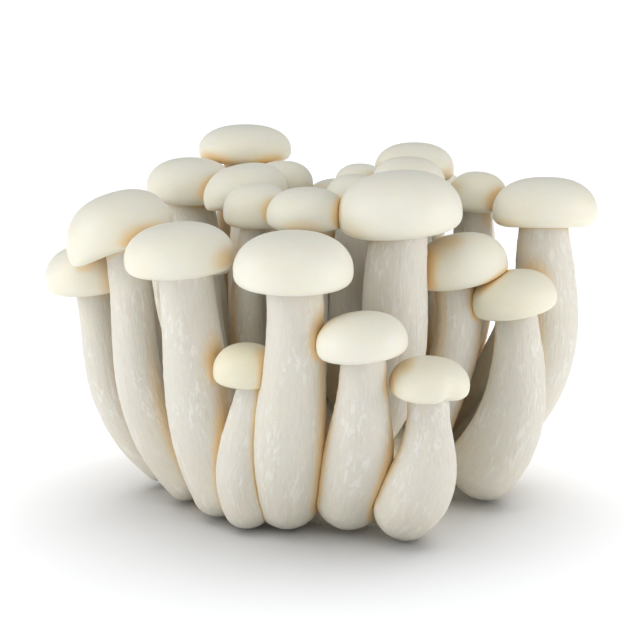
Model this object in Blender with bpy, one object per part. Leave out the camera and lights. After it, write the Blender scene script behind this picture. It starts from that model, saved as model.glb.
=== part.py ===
"""A bunch of white shimeji mushrooms, picked whole and standing on its trimmed foot.

Thirty-four mushrooms, each with its cap, gills and stem grown as one piece, rise from one shared foot
whose underside was cut flat. The lengths below are millimetres; the objects are in metres, +Z up.
The origin is the middle of the cut face, +X is the bunch's right and -Y its front.
"""

import math

import bpy
import numpy as np

MM = 0.001

# The shared foot: a low lobed mound of grown-together tissue with a flat cut underside. It spreads
# further where the front and back mushrooms stand out: each spread is an angle, a width and a share.
FOOT_HALF_WIDTH = 27.0
FOOT_HALF_DEPTH = 21.5
FOOT_HEIGHT = 17.0
FOOT_WAIST_HEIGHT = 5.0
FOOT_CUT_SHARE = 0.92
FOOT_DOME_ROUNDNESS = 2.2
FOOT_LEVELS = (0.97, 0.86, 0.68, 0.45, 0.22, 0.1, 0.0)
FOOT_SIDES = 36
FOOT_LOBES = 11
FOOT_LOBE_DEPTH = 0.035
FOOT_SPREAD = ((-103, 30, 0.10), (-66, 20, 0.36), (78, 24, 0.08))

# How the mushrooms sit together: the gaps that pressed flesh keeps to a neighbour and to the foot
GAP = 0.8
FOOT_GAP = 1.0
FLOOR_CLEARANCE = 0.5
PRESS_STEPS = 14
DEEPEST_PRESS = 0.15

# How finely each mushroom is drawn
CAP_SIDES = 18
GILLS = 17
STEM_SIDES = 10
AXIS_SAMPLES = 25

# A cap's section: a dome above its widest level, a rolled margin below, and the gills inside it
WIDEST_LEVEL = 0.34
DOME_ROUNDNESS = 2.5
MARGIN_BULGE = 6.0
MARGIN_ROLL = 3.0
MARGIN_TUCK = 0.35
GILL_OUTER = 0.71
GILL_RISE = 0.20
GILL_DEPTH = 1.1
STEM_FLARE = 0.6
TURN_START = 0.6
CAP_RINGS_ABOVE = (24, 46, 68, 90)
CAP_RINGS_BELOW = (32, 62)
STEM_LEVELS = (0.0, 0.16, 0.34, 0.54, 0.76, 0.95)
FOOT_ROUNDING = (50,)
FOOT_FLATTENING = 0.9


class Mushroom:
    """One mushroom. x, y and d are the stem's places and diameters at four even heights.

    z gives the heights of the lowest and the highest of them. cap is the cap's diameter and height,
    lean its tilt in degrees to the right and to the back, shift its middle's offset from the stem,
    and dents its departures from round: angle, width, outward share and drop of the margin.
    """

    def __init__(self, x, y, z, d, cap, lean=(0, 0), shift=(0, 0), dents=()):
        self.x = np.array(x, float)
        self.y = np.array(y, float)
        self.z = np.array(z, float)
        self.d = np.array(d, float)
        self.cap_radius = cap[0] / 2
        self.cap_height = cap[1]
        self.dents = dents
        right, back = (math.tan(math.radians(angle)) for angle in lean)
        self.axis = unit(np.array([right, back, 1.0]))
        self.across = unit(np.array([1.0, 0.0, 0.0]) - self.axis * self.axis[0])
        self.depth = np.cross(self.axis, self.across)
        self.neck = np.array([self.x[3], self.y[3], self.z[1]])
        self.cap_base = self.neck + shift[0] * self.across + shift[1] * self.depth
        self.samples = np.array([self.centre(t) for t in np.linspace(0, 1, AXIS_SAMPLES)])
        self.sample_radii = np.array([self.radius(t) for t in np.linspace(0, 1, AXIS_SAMPLES)])

    def centre(self, t):
        """The stem's middle at the share t of its height."""
        height = self.z[0] + (self.z[1] - self.z[0]) * t
        return np.array([through_four(self.x, t), through_four(self.y, t), height])

    def radius(self, t):
        return through_four(self.d, t) / 2

    def stem_frame(self, t):
        """The directions across a ring of the stem, which turns to the cap's tilt near the top."""
        along = unit(self.centre(t + 0.02) - self.centre(t - 0.02))
        share = smooth((t - TURN_START) / (1 - TURN_START))
        axis = unit(along * (1 - share) + self.axis * share)
        across = unit(np.array([1.0, 0.0, 0.0]) - axis * axis[0])
        return across, np.cross(axis, across), axis

    def swell(self, angle):
        """The share by which the cap's radius grows towards each angle."""
        total = np.zeros_like(angle)
        for middle, width, outward, hang in self.dents:
            total = total + outward * bump(angle, middle, width)
        return total

    def drop(self, angle):
        """How far the margin hangs below its level at each angle."""
        total = np.zeros_like(angle)
        for middle, width, outward, hang in self.dents:
            total = total + hang * bump(angle, middle, width)
        return total

    def cap_point(self, share, height, angle):
        """A place on the cap from its share of the radius, its height over the rim and its angle."""
        reach = share * self.cap_radius * (1 + self.swell(angle))
        level = height - self.drop(angle) * share**3
        return (
            self.cap_base
            + np.outer(reach * np.cos(angle), self.across)
            + np.outer(reach * np.sin(angle), self.depth)
            + np.outer(level, self.axis)
        )

    def cap_section(self, share, level):
        """1 on the cap's outer surface, less inside and more outside."""
        widest = self.cap_height * WIDEST_LEVEL
        above = np.maximum(level - widest, 0) / (self.cap_height - widest)
        below = np.maximum(widest - level, 0) / widest
        dome = (share**DOME_ROUNDNESS + above**2) ** (1 / DOME_ROUNDNESS)
        margin = (share**MARGIN_BULGE + below**MARGIN_ROLL) ** (1 / MARGIN_ROLL)
        return np.where(level > widest, dome, margin)

    def distance(self, points):
        """How far each point is outside this mushroom, and below zero how deep inside."""
        to_axis = np.linalg.norm(points[:, None] - self.samples[None], axis=2)
        stem = (to_axis - self.sample_radii[None]).min(axis=1)
        away = points - self.cap_base
        across, back, level = (away @ way for way in (self.across, self.depth, self.axis))
        angle = np.arctan2(back, across)
        share = np.hypot(across, back) / (self.cap_radius * (1 + self.swell(angle)))
        section = self.cap_section(share, level + self.drop(angle) * share**3)
        middle = self.cap_height * WIDEST_LEVEL
        ray = np.sqrt(across**2 + back**2 + (level - middle) ** 2)
        cap = ray * (1 - 1 / np.maximum(section, 1e-3))
        return np.minimum(stem, cap)

    def shape(self):
        """The corners, the inner point that each may be pressed towards, and the faces."""
        rings = []
        inner = []
        heart = self.cap_base + self.axis * self.cap_height * WIDEST_LEVEL
        round_cap = np.arange(CAP_SIDES) * 2 * math.pi / CAP_SIDES
        round_gills = np.arange(2 * GILLS) * math.pi / GILLS
        round_stem = np.arange(STEM_SIDES) * 2 * math.pi / STEM_SIDES
        widest = self.cap_height * WIDEST_LEVEL
        dome = self.cap_height - widest

        def add(points, towards):
            rings.append(points)
            inner.append(np.broadcast_to(towards, points.shape))

        add(self.cap_point(np.zeros(1), np.full(1, self.cap_height), np.zeros(1)), heart)
        for degrees in CAP_RINGS_ABOVE:
            turn = math.radians(degrees)
            share = math.sin(turn) ** (2 / DOME_ROUNDNESS)
            level = widest + dome * math.cos(turn)
            add(self.cap_point(share, np.full(CAP_SIDES, level), round_cap), heart)
        for degrees in CAP_RINGS_BELOW:
            turn = math.radians(degrees)
            share = math.cos(turn) ** (2 / MARGIN_BULGE)
            level = widest * (1 - math.sin(turn) ** (2 / MARGIN_ROLL))
            add(self.cap_point(share, np.full(CAP_SIDES, level), round_cap), heart)
        groove = np.arange(2 * GILLS) % 2 * GILL_DEPTH
        add(self.cap_point(GILL_OUTER, MARGIN_TUCK + groove, round_gills), heart)
        rise = self.cap_height * GILL_RISE
        add(self.collar(self.radius(1.0) + STEM_FLARE, rise + groove, round_gills), heart)
        add(self.collar(self.radius(1.0), np.full(STEM_SIDES, rise), round_stem), heart)
        for t in reversed(STEM_LEVELS):
            centre = self.centre(t)
            across, depth, axis = self.stem_frame(t)
            add(ring(centre, across, depth, self.radius(t), round_stem), centre)
        for degrees in FOOT_ROUNDING:
            turn = math.radians(degrees)
            low = centre - axis * self.radius(0) * math.sin(turn) * FOOT_FLATTENING
            add(ring(low, across, depth, self.radius(0) * math.cos(turn), round_stem), centre)
        add((centre - axis * self.radius(0) * FOOT_FLATTENING)[None], centre)
        return np.vstack(rings), np.vstack(inner), bands([len(points) for points in rings])

    def collar(self, reach, level, angle):
        """Places round the neck, in the cap's tilt."""
        return (
            self.neck
            + np.outer(reach * np.cos(angle), self.across)
            + np.outer(reach * np.sin(angle), self.depth)
            + np.outer(level, self.axis)
        )


def unit(vector):
    return vector / np.linalg.norm(vector)


def smooth(share):
    share = np.clip(share, 0, 1)
    return share * share * (3 - 2 * share)


def bump(angle, middle, width):
    """1 at the middle angle, fading to nothing either side; both are in degrees."""
    away = (angle - math.radians(middle) + math.pi) % (2 * math.pi) - math.pi
    return np.exp(-((away / math.radians(width)) ** 2))


def through_four(values, t):
    """The cubic through four values that stand at 0, 1/3, 2/3 and 1."""
    a, b, c, d = values
    return (
        -4.5 * a * (t - 1 / 3) * (t - 2 / 3) * (t - 1)
        + 13.5 * b * t * (t - 2 / 3) * (t - 1)
        - 13.5 * c * t * (t - 1 / 3) * (t - 1)
        + 4.5 * d * t * (t - 1 / 3) * (t - 2 / 3)
    )


def ring(centre, across, depth, radius, angles):
    return centre + np.outer(radius * np.cos(angles), across) + np.outer(radius * np.sin(angles), depth)


def bands(counts):
    """Faces between successive rings, listed from the top down, whose counts may differ."""
    faces = []
    start = 0
    for upper, lower in zip(counts, counts[1:]):
        below = start + upper
        i = j = 0
        while i < upper or j < lower:
            a = start + i % upper
            b = below + j % lower
            if j >= lower or (i < upper and (i + 1) * lower <= (j + 0.5) * upper):
                faces.append((a, b, start + (i + 1) % upper))
                i += 1
            else:
                faces.append((a, b, below + (j + 1) % lower))
                j += 1
        start = below
    return [face for face in faces if len(set(face)) == 3]


# Places and sizes, read from the front: the stems' x, y and diameter from foot to neck.
# The outer mushrooms come round the bunch, the inner ones rise from the top of the foot.
MUSHROOMS = {
    # front row, from the left
    "mushroom_01": Mushroom(
        (-32.6, -41.3, -44.3, -45.9), (1.5, 3, 4, 4.5), (5, 40.5), (8.2, 9.2, 8.8, 8), (19.4, 9.8), (-6, 0)
    ),
    "mushroom_02": Mushroom(
        (-26.5, -34.8, -36.9, -38.2), (-10, -9, -8.5, -7.5), (5, 51.5), (9.4, 9.6, 8.4, 8.2),
        (20.9, 10.9), (-17, 0), dents=((195, 40, 0.08, 2.0), (265, 30, 0.03, -0.8))
    ),
    "mushroom_03": Mushroom(
        (-19.3, -22.8, -24.4, -25.4), (-20.3, -18.5, -19.3, -22.3), (5.8, 49), (11.3, 13.4, 11.6, 10.3),
        (20.9, 9.6), (-4, 0), (-0.8, 0)
    ),
    "mushroom_04": Mushroom(
        (-13.6, -14.6, -13.6, -12.4), (-27, -26.5, -26.2, -26.3), (4.8, 28.4), (9.6, 10.2, 8.4, 6.6),
        (12.8, 7.8), (2, 0), (-1.4, 0)
    ),
    "mushroom_05": Mushroom(
        (-6.2, -5.6, -4.7, -4.7), (-27.3, -30, -31.8, -32), (6.2, 47.9), (12.4, 13.4, 11.2, 10.5),
        (22.0, 10.6), (0, 0), (-0.2, 0)
    ),
    "mushroom_06": Mushroom(
        (5.2, 7.2, 7.7, 7.9), (-29, -31.5, -34.5, -36), (6.6, 36), (12.2, 13.0, 10.0, 8.4),
        (16.8, 8.2), (-6, 0)
    ),
    "mushroom_07": Mushroom(
        (15.8, 19.2, 20, 20), (-33.4, -35, -35, -34.5), (6.2, 28.3), (12.2, 12.4, 9.0, 7.8),
        (14.9, 7.2), (3, 0), dents=((-57, 13, -0.10, -0.8), (-120, 40, 0.02, 0.7))
    ),
    "mushroom_08": Mushroom(
        (32.6, 37.7, 38.9, 38.3), (-9.5, -11.5, -12, -11.5), (7.4, 39), (14.2, 13.0, 10.4, 8.2),
        (16.7, 8.5), (-10, 0)
    ),
    # left and right flanks and the second row
    "mushroom_09": Mushroom(
        (22, 24.9, 27.2, 26.6), (-5, -7, -8.5, -8.5), (13, 44.2), (8.6, 9.3, 9.3, 8.5),
        (18.5, 9.7), (-11, 0), (1.7, 0)
    ),
    "mushroom_10": Mushroom(
        (31, 43, 45.6, 44.8), (3.5, 1.5, 0.5, 0.5), (6.5, 54), (11, 13.9, 12.9, 9.9),
        (21, 10.2), (0, 8), (0.2, 0)
    ),
    "mushroom_11": Mushroom(
        (10.5, 13.9, 14.5, 15.1), (-14, -15.5, -15.5, -15.5), (17, 55.4), (9.4, 12.2, 12.4, 11.1),
        (23.8, 12), (-4.6, 0), (0.4, 0)
    ),
    "mushroom_12": Mushroom(
        (-3, -3, -2.6, -2.5), (-9.5, -12, -13, -12.5), (20.5, 55.9), (8, 8.8, 8.2, 7.2), (15.6, 8.0)
    ),
    "mushroom_13": Mushroom(
        (-12, -14.4, -14.6, -13.2), (-4, -4.5, -3.5, -2.5), (18.5, 54.9), (6.4, 6.6, 5.8, 5),
        (13.6, 8.5), (0, 0), (0.8, 0)
    ),
    "mushroom_14": Mushroom(
        (-12, -14, -14.5, -14.5), (6, 8, 11, 13.5), (18, 57.3), (7.6, 9, 8.6, 7.4),
        (17.4, 8.0), (-9, 0), (-0.4, 0), dents=((195, 35, 0.04, 1.0),)
    ),
    "mushroom_15": Mushroom(
        (5, 6, 6.3, 6.8), (-1.5, -1.5, 0.5, 2.5), (20.5, 57.5), (7.2, 8.6, 8, 6), (11.5, 7.0)
    ),
    "mushroom_16": Mushroom(
        (13.5, 15.5, 17, 17.7), (1, 1.5, 2.5, 3.5), (19.5, 60.5), (7.6, 8.6, 8, 6.8), (14.6, 7.4), (2, 0)
    ),
    "mushroom_17": Mushroom(
        (5.5, 7, 8, 8.3), (9, 11, 12.5, 13.5), (19, 59.3), (6.8, 7.6, 6.8, 5.4), (10.5, 6.0)
    ),
    "mushroom_18": Mushroom(
        (23, 29, 32, 32.2), (5.5, 8, 10, 10.5), (13, 56.1), (6.8, 8, 7.2, 5.9), (12.4, 7.9), (3, 0)
    ),
    "mushroom_31": Mushroom(
        (-18, -23, -26, -27), (1, 3, 4, 4.5), (15.5, 45.5), (7.4, 9, 8.6, 7.4), (13, 7), (-4, 2)
    ),
    "mushroom_32": Mushroom(
        (-17, -20.5, -22.3, -22.6), (-7.5, -8.5, -8, -7.5), (15, 46.2), (6, 6.8, 6.4, 5.6), (10.6, 6.4)
    ),
    "mushroom_33": Mushroom(
        (-4, -3, -2.2, -2), (4, 6, 8.5, 9.5), (18.8, 50), (7, 8, 7.4, 6.2), (12.2, 7), (-3, 0)
    ),
    "mushroom_34": Mushroom(
        (1.5, 2.2, 2.8, 3), (14, 18, 21, 22.5), (15.5, 50.5), (6.6, 7.4, 6.8, 5.8), (11, 6.4), (0, 3)
    ),
    # the back, as seen over the others
    "mushroom_19": Mushroom(
        (-18.5, -23.5, -26, -27.6), (12.5, 16.5, 21, 24.5), (12, 55.8), (7.6, 10, 11, 10), (18.9, 9.4)
    ),
    "mushroom_20": Mushroom(
        (-10.5, -16, -18, -16.4), (21.5, 25, 31, 36.5), (6.8, 63), (8.6, 9.8, 9.8, 9), (20.2, 8.0)
    ),
    "mushroom_21": Mushroom(
        (-4.5, -6, -7.5, -8), (14.5, 18, 22, 25.5), (15.5, 57.4), (6.8, 7.2, 7, 6.2), (13, 7.0)
    ),
    "mushroom_22": Mushroom(
        (13.5, 17, 19, 19.8), (12, 15, 17.5, 20), (15, 60.9), (7.6, 8.6, 8.4, 7.8), (16.7, 8.0)
    ),
    "mushroom_23": Mushroom(
        (3.5, 4.5, 4.8, 4.6), (24, 26.5, 30.5, 34), (6, 52.2), (8.4, 9.4, 8.8, 7.6), (16, 7.4), (0, 6)
    ),
    # the back's outer ring
    "mushroom_24": Mushroom(
        (-26.5, -35, -39, -40.5), (10, 14, 17, 18.5), (5.6, 44), (8.2, 9.8, 9.6, 8.6), (17, 8.6), (-8, 6)
    ),
    "mushroom_25": Mushroom(
        (-19, -27, -31, -33), (21, 27.5, 31, 33), (5.6, 42), (8.6, 10.4, 10, 8.8), (17.5, 8.6), (-8, 8)
    ),
    "mushroom_26": Mushroom(
        (-4, -4.5, -5, -5), (28.5, 35.5, 40.5, 43.5), (5.8, 38.5), (9.2, 10.4, 9.4, 8), (15, 7.8), (-2, 12)
    ),
    "mushroom_27": Mushroom(
        (8.5, 10.8, 12.5, 13.5), (29, 36, 41, 44), (5.8, 43), (9.2, 11, 10, 8.6), (16, 8.4), (3, 10)
    ),
    "mushroom_28": Mushroom(
        (15.5, 19.8, 22, 23), (22, 28, 32.5, 35.5), (6, 53), (8.6, 10.6, 10.2, 9), (17.5, 8.8), (3, 5)
    ),
    "mushroom_29": Mushroom(
        (22, 29, 32.5, 32.8), (16, 21.5, 24, 24.5), (5.6, 52.6), (8.8, 10.4, 9.8, 8.4), (14.8, 8.0), (4, 4)
    ),
    "mushroom_30": Mushroom(
        (28, 35, 39.5, 43), (11, 14.5, 16.5, 17), (5.8, 33.5), (8.6, 10.2, 9.6, 8.2), (15, 8), (8, 6)
    ),
}


def foot_reach(angle, level):
    """The shared foot's half width at an angle and a share of its height."""
    waist = FOOT_WAIST_HEIGHT / FOOT_HEIGHT
    under = FOOT_CUT_SHARE + (1 - FOOT_CUT_SHARE) * np.clip(level / waist, 0, 1) ** 0.7
    risen = np.clip(level - waist, 0, None) / (1 - waist)
    over = np.sqrt(np.clip(1 - risen**FOOT_DOME_ROUNDNESS, 0, 1))
    lobes = 1 + FOOT_LOBE_DEPTH * np.sin(FOOT_LOBES * angle)
    for middle, width, outward in FOOT_SPREAD:
        lobes = lobes + outward * bump(angle, middle, width)
    around = 1 / np.hypot(np.cos(angle) / FOOT_HALF_WIDTH, np.sin(angle) / FOOT_HALF_DEPTH)
    return around * lobes * np.minimum(under, over)


def foot_distance(points):
    """How far each point is outside the shared foot, and below zero how deep inside."""
    away = points - np.array([0, 0, FOOT_WAIST_HEIGHT])
    angle = np.arctan2(away[:, 1], away[:, 0])
    around = foot_reach(angle, np.full(len(points), FOOT_WAIST_HEIGHT / FOOT_HEIGHT))
    share = np.hypot(away[:, 0], away[:, 1]) / around
    risen = np.maximum(away[:, 2], 0) / (FOOT_HEIGHT - FOOT_WAIST_HEIGHT)
    dome = np.sqrt(share**2 + risen**FOOT_DOME_ROUNDNESS)
    return np.linalg.norm(away, axis=1) * (1 - 1 / np.maximum(dome, 1e-3))


def foot_shape():
    """The shared foot's corners and faces, from the top down to the flat cut."""
    angles = np.arange(FOOT_SIDES) * 2 * math.pi / FOOT_SIDES
    rings = [np.array([[0.0, 0.0, FOOT_HEIGHT]])]
    for level in FOOT_LEVELS:
        reach = foot_reach(angles, np.full(FOOT_SIDES, level))
        height = np.full(FOOT_SIDES, level * FOOT_HEIGHT)
        rings.append(np.column_stack([reach * np.cos(angles), reach * np.sin(angles), height]))
    rings.append(np.array([[0.0, 0.0, 0.0]]))
    return np.vstack(rings), bands([len(points) for points in rings])


def pressed(name, corners, inner):
    """The corners, drawn in towards the mushroom's own middle wherever a neighbour crowds it."""
    own = MUSHROOMS[name]
    others = [other for key, other in MUSHROOMS.items() if key != name]

    def clear(share):
        points = inner + (corners - inner) * share[:, None]
        room = foot_distance(points) - FOOT_GAP
        inside = own.distance(points)
        for other in others:
            room = np.minimum(room, other.distance(points) - inside - GAP)
        return room >= 0

    low = np.full(len(corners), DEEPEST_PRESS)
    high = np.ones(len(corners))
    free = clear(high)
    for _ in range(PRESS_STEPS):
        middle = (low + high) / 2
        good = clear(middle)
        low = np.where(good, middle, low)
        high = np.where(good, high, middle)
    share = np.where(free, 1.0, low)
    points = inner + (corners - inner) * share[:, None]
    points[:, 2] = np.maximum(points[:, 2], FLOOR_CLEARANCE)
    return points


def finish(name, colour, roughness):
    """A plain material in the piece's own colour."""
    material = bpy.data.materials.new(name)
    material.use_nodes = True
    shader = material.node_tree.nodes["Principled BSDF"]
    shader.inputs["Base Color"].default_value = (*colour, 1)
    shader.inputs["Roughness"].default_value = roughness
    shader.inputs["Metallic"].default_value = 0
    return material


def add_solid(name, corners, faces, material):
    mesh = bpy.data.meshes.new(name)
    mesh.from_pydata((corners * MM).tolist(), [], faces)
    mesh.materials.append(material)
    mesh.shade_smooth()
    mesh.set_sharp_from_angle(angle=math.radians(50))
    solid = bpy.data.objects.new(name, mesh)
    bpy.context.scene.collection.objects.link(solid)
    return solid


def build():
    for thing in list(bpy.data.objects):
        bpy.data.objects.remove(thing, do_unlink=True)
    corners, faces = foot_shape()
    add_solid("shared_foot", corners, faces, finish("cut_foot", (0.80, 0.74, 0.60), 0.8))
    flesh = finish("mushroom_flesh", (0.87, 0.84, 0.76), 0.5)
    for name, mushroom in MUSHROOMS.items():
        corners, inner, faces = mushroom.shape()
        add_solid(name, pressed(name, corners, inner), faces, flesh)


build()
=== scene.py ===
import math

import bpy
import numpy as np
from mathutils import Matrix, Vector


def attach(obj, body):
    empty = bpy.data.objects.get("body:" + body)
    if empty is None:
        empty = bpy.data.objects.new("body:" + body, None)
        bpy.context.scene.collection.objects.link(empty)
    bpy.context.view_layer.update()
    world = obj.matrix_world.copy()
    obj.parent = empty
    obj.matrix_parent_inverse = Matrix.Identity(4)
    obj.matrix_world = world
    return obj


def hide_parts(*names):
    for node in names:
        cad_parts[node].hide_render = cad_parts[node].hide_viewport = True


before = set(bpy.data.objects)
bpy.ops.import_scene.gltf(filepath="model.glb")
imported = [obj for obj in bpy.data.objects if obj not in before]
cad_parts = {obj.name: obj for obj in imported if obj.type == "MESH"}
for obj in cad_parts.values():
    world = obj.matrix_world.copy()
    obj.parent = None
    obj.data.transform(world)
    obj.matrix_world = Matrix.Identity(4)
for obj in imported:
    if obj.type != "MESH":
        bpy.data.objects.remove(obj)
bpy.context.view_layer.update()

MM = 0.001

# The stage: a pale floor with its own soft sun, so that the shadow under the bunch is plain grey,
# and soft boxes at the left, at the right and above that light the mushrooms alone.
# The camera stands where the photograph was taken from. Its places are millimetres.
CAMERA_TARGET = (0.0, -3.5, 36.0)
CAMERA_DISTANCE = 356.0
CAMERA_ELEVATION = 12.0
LENS = 100.0
FLOOR_HALF = 30.0
WORLD_LIGHT = (0.93, 0.96, 1.0)
WORLD_STRENGTH = 0.42
SUN_STRENGTH = 3.05
SUN_SPREAD = 75.0
SUN_TILT = 24.0
# Each box: its side of the bunch in degrees, its height in degrees, its distance and size in metres,
# its power in watts and its colour.
SOFT_BOXES = (
    (-78, 20, 0.80, 0.55, 2.2, (1.0, 0.995, 0.98)),
    (78, 14, 0.85, 0.45, 2.2, (1.0, 0.97, 0.92)),
    (-18, 58, 0.90, 0.50, 1.5, (1.0, 1.0, 0.98)),
)


def link(thing):
    bpy.context.scene.collection.objects.link(thing)
    return thing


def looking(angle, height):
    """The direction from the bunch towards a place at an angle round it and a height, in degrees."""
    angle, height = math.radians(angle), math.radians(height)
    flat = math.cos(height)
    return np.array([math.sin(angle) * flat, -math.cos(angle) * flat, math.sin(height)])


def aim(thing, place, target):
    """Stands a camera or a lamp at a place, turned to a target; both are in metres."""
    thing.location = place
    thing.rotation_euler = (Vector(target) - Vector(place)).to_track_quat("-Z", "Y").to_euler()


def make_floor():
    floor = bpy.data.meshes.new("floor")
    half = FLOOR_HALF
    corners = [(-half, -half, 0), (half, -half, 0), (half, half, 0), (-half, half, 0)]
    floor.from_pydata(corners, [], [(0, 1, 2, 3)])
    material = bpy.data.materials.new("pale_floor")
    material.use_nodes = True
    shader = material.node_tree.nodes["Principled BSDF"]
    shader.inputs["Base Color"].default_value = (0.9, 0.9, 0.9, 1)
    shader.inputs["Roughness"].default_value = 1.0
    shader.inputs["Specular IOR Level"].default_value = 0.0
    floor.materials.append(material)
    floor = link(bpy.data.objects.new("floor", floor))
    return floor


def light_up(floor):
    """The world's fill, the floor's sun and the soft boxes, which leave the floor alone."""
    world = bpy.data.worlds.new("studio")
    world.use_nodes = True
    world.node_tree.nodes["Background"].inputs["Color"].default_value = (*WORLD_LIGHT, 1)
    world.node_tree.nodes["Background"].inputs["Strength"].default_value = WORLD_STRENGTH
    bpy.context.scene.world = world

    on_floor = bpy.data.collections.new("lit by the sun")
    on_floor.objects.link(floor)
    sun = bpy.data.lights.new("floor_sun", "SUN")
    sun.energy = SUN_STRENGTH
    sun.angle = math.radians(SUN_SPREAD)
    sun = link(bpy.data.objects.new("floor_sun", sun))
    aim(sun, looking(180, 90 - SUN_TILT), (0, 0, 0))
    sun.light_linking.receiver_collection = on_floor

    all_but_floor = bpy.data.collections.new("not lit by the boxes")
    all_but_floor.objects.link(floor)
    all_but_floor.collection_objects[0].light_linking.link_state = "EXCLUDE"
    for number, (side, height, distance, size, power, colour) in enumerate(SOFT_BOXES):
        box = bpy.data.lights.new(f"soft_box_{number}", "AREA")
        box.shape = "SQUARE"
        box.size = size
        box.energy = power
        box.color = colour
        box = link(bpy.data.objects.new(f"soft_box_{number}", box))
        target = np.array(CAMERA_TARGET) * MM
        aim(box, target + distance * looking(side, height), target)
        box.light_linking.receiver_collection = all_but_floor


def set_camera():
    camera = bpy.data.cameras.new("camera")
    camera.lens = LENS
    camera.sensor_width = 36.0
    camera.clip_start, camera.clip_end = 0.01, 100.0
    camera = link(bpy.data.objects.new("camera", camera))
    target = np.array(CAMERA_TARGET) * MM
    aim(camera, target + CAMERA_DISTANCE * MM * looking(0, CAMERA_ELEVATION), target)
    bpy.context.scene.camera = camera
    bpy.context.scene.view_settings.view_transform = "Standard"


light_up(make_floor())
set_camera()

# The shared foot: a low lobed mound of grown-together tissue that carries every stem, knobbly where
# it shows between them and flat underneath, where a knife took it off its block.
# The foot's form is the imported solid's; its knobs and grain are raised from it by nodes.
FOOT_HALF_WIDTH = 27.0
FOOT_HALF_DEPTH = 21.5
FOOT_HEIGHT = 17.0
FOOT_WAIST_HEIGHT = 5.0
FOOT_CUT_SHARE = 0.92
FOOT_DOME_ROUNDNESS = 2.2
FOOT_LOBES = 11
FOOT_LOBE_DEPTH = 0.035
FOOT_SPREAD = ((-103, 30, 0.10), (-66, 20, 0.36), (78, 24, 0.08))
FOOT_SIDES = 220
FOOT_RINGS = 44
CUT_RINGS = 8
KNOB_HEIGHT = 0.55
KNOB_SIZE = 3.4


class Wire:
    """The output of a node. A sum on wires adds the Math nodes that work it out."""

    def __init__(self, recipe, socket):
        self.recipe = recipe
        self.socket = socket

    def __add__(self, other):
        return self.recipe.maths("ADD", self, other)

    def __sub__(self, other):
        return self.recipe.maths("SUBTRACT", self, other)

    def __rsub__(self, other):
        return self.recipe.maths("SUBTRACT", other, self)

    def __mul__(self, other):
        return self.recipe.maths("MULTIPLY", self, other)

    def __truediv__(self, other):
        return self.recipe.maths("DIVIDE", self, other)

    def __rtruediv__(self, other):
        return self.recipe.maths("DIVIDE", other, self)

    def __pow__(self, other):
        return self.recipe.maths("POWER", self, other)

    def __abs__(self):
        return self.recipe.maths("ABSOLUTE", self)

    __radd__ = __add__
    __rmul__ = __mul__

    def between(self, low, high):
        """0 up to low and 1 from high, with a soft step from one to the other."""
        return self.recipe.node(
            "ShaderNodeMapRange",
            {"interpolation_type": "SMOOTHSTEP"},
            {"Value": self, "From Min": low, "From Max": high},
        )


class Recipe:
    """A tree of nodes, for a material or for geometry."""

    def __init__(self, tree):
        self.tree = tree

    def feed(self, socket, value):
        if isinstance(value, Wire):
            self.tree.links.new(value.socket, socket)
        else:
            socket.default_value = value

    def node(self, kind, settings=None, inputs=None, output=0):
        """Adds a node: its settings first, then the values or the wires of its sockets."""
        made = self.tree.nodes.new(kind)
        for name, value in (settings or {}).items():
            setattr(made, name, value)
        for name, value in (inputs or {}).items():
            self.feed(made.inputs[name], value)
        return Wire(self, made.outputs[output])

    def maths(self, operation, *values):
        return self.node("ShaderNodeMath", {"operation": operation}, dict(enumerate(values)))

    def mix(self, share, first, second):
        """A colour between two others."""
        settings = {"data_type": "RGBA", "clamp_factor": True}
        return self.node("ShaderNodeMix", settings, {0: share, 6: first, 7: second}, output=2)

    def stretch(self, vector, by):
        return self.node("ShaderNodeVectorMath", {"operation": "MULTIPLY"}, {0: vector, 1: by})

    def noise(self, vector, detail=3.0, roughness=0.55, distortion=0.0):
        inputs = {
            "Vector": vector,
            "Scale": 1.0,
            "Detail": detail,
            "Roughness": roughness,
            "Distortion": distortion,
        }
        return self.node("ShaderNodeTexNoise", None, inputs)

    def attribute(self, name, vector=False):
        """A value stored on the mesh's points, read in a material or in geometry."""
        if self.tree.type == "GEOMETRY":
            settings = {"data_type": "FLOAT_VECTOR" if vector else "FLOAT"}
            return self.node("GeometryNodeInputNamedAttribute", settings, {"Name": name})
        return self.node("ShaderNodeAttribute", {"attribute_name": name}, output=1 if vector else 2)


def geometry_tree(name, sizes, materials):
    """A new tree of geometry nodes with named inputs. Returns its recipe and the inputs by name."""
    tree = bpy.data.node_groups.new(name, "GeometryNodeTree")
    tree.interface.new_socket("Geometry", in_out="INPUT", socket_type="NodeSocketGeometry")
    for size in sizes:
        kind = "NodeSocketInt" if size in ("Gills", "Seed") else "NodeSocketFloat"
        tree.interface.new_socket(size, in_out="INPUT", socket_type=kind)
    for material in materials:
        tree.interface.new_socket(material, in_out="INPUT", socket_type="NodeSocketMaterial")
    tree.interface.new_socket("Geometry", in_out="OUTPUT", socket_type="NodeSocketGeometry")
    recipe = Recipe(tree)
    given = tree.nodes.new("NodeGroupInput")
    return recipe, {socket.name: Wire(recipe, socket) for socket in given.outputs if socket.name}


def end_tree(recipe, geometry):
    out = recipe.tree.nodes.new("NodeGroupOutput")
    recipe.feed(out.inputs["Geometry"], geometry)
    return recipe.tree


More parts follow.
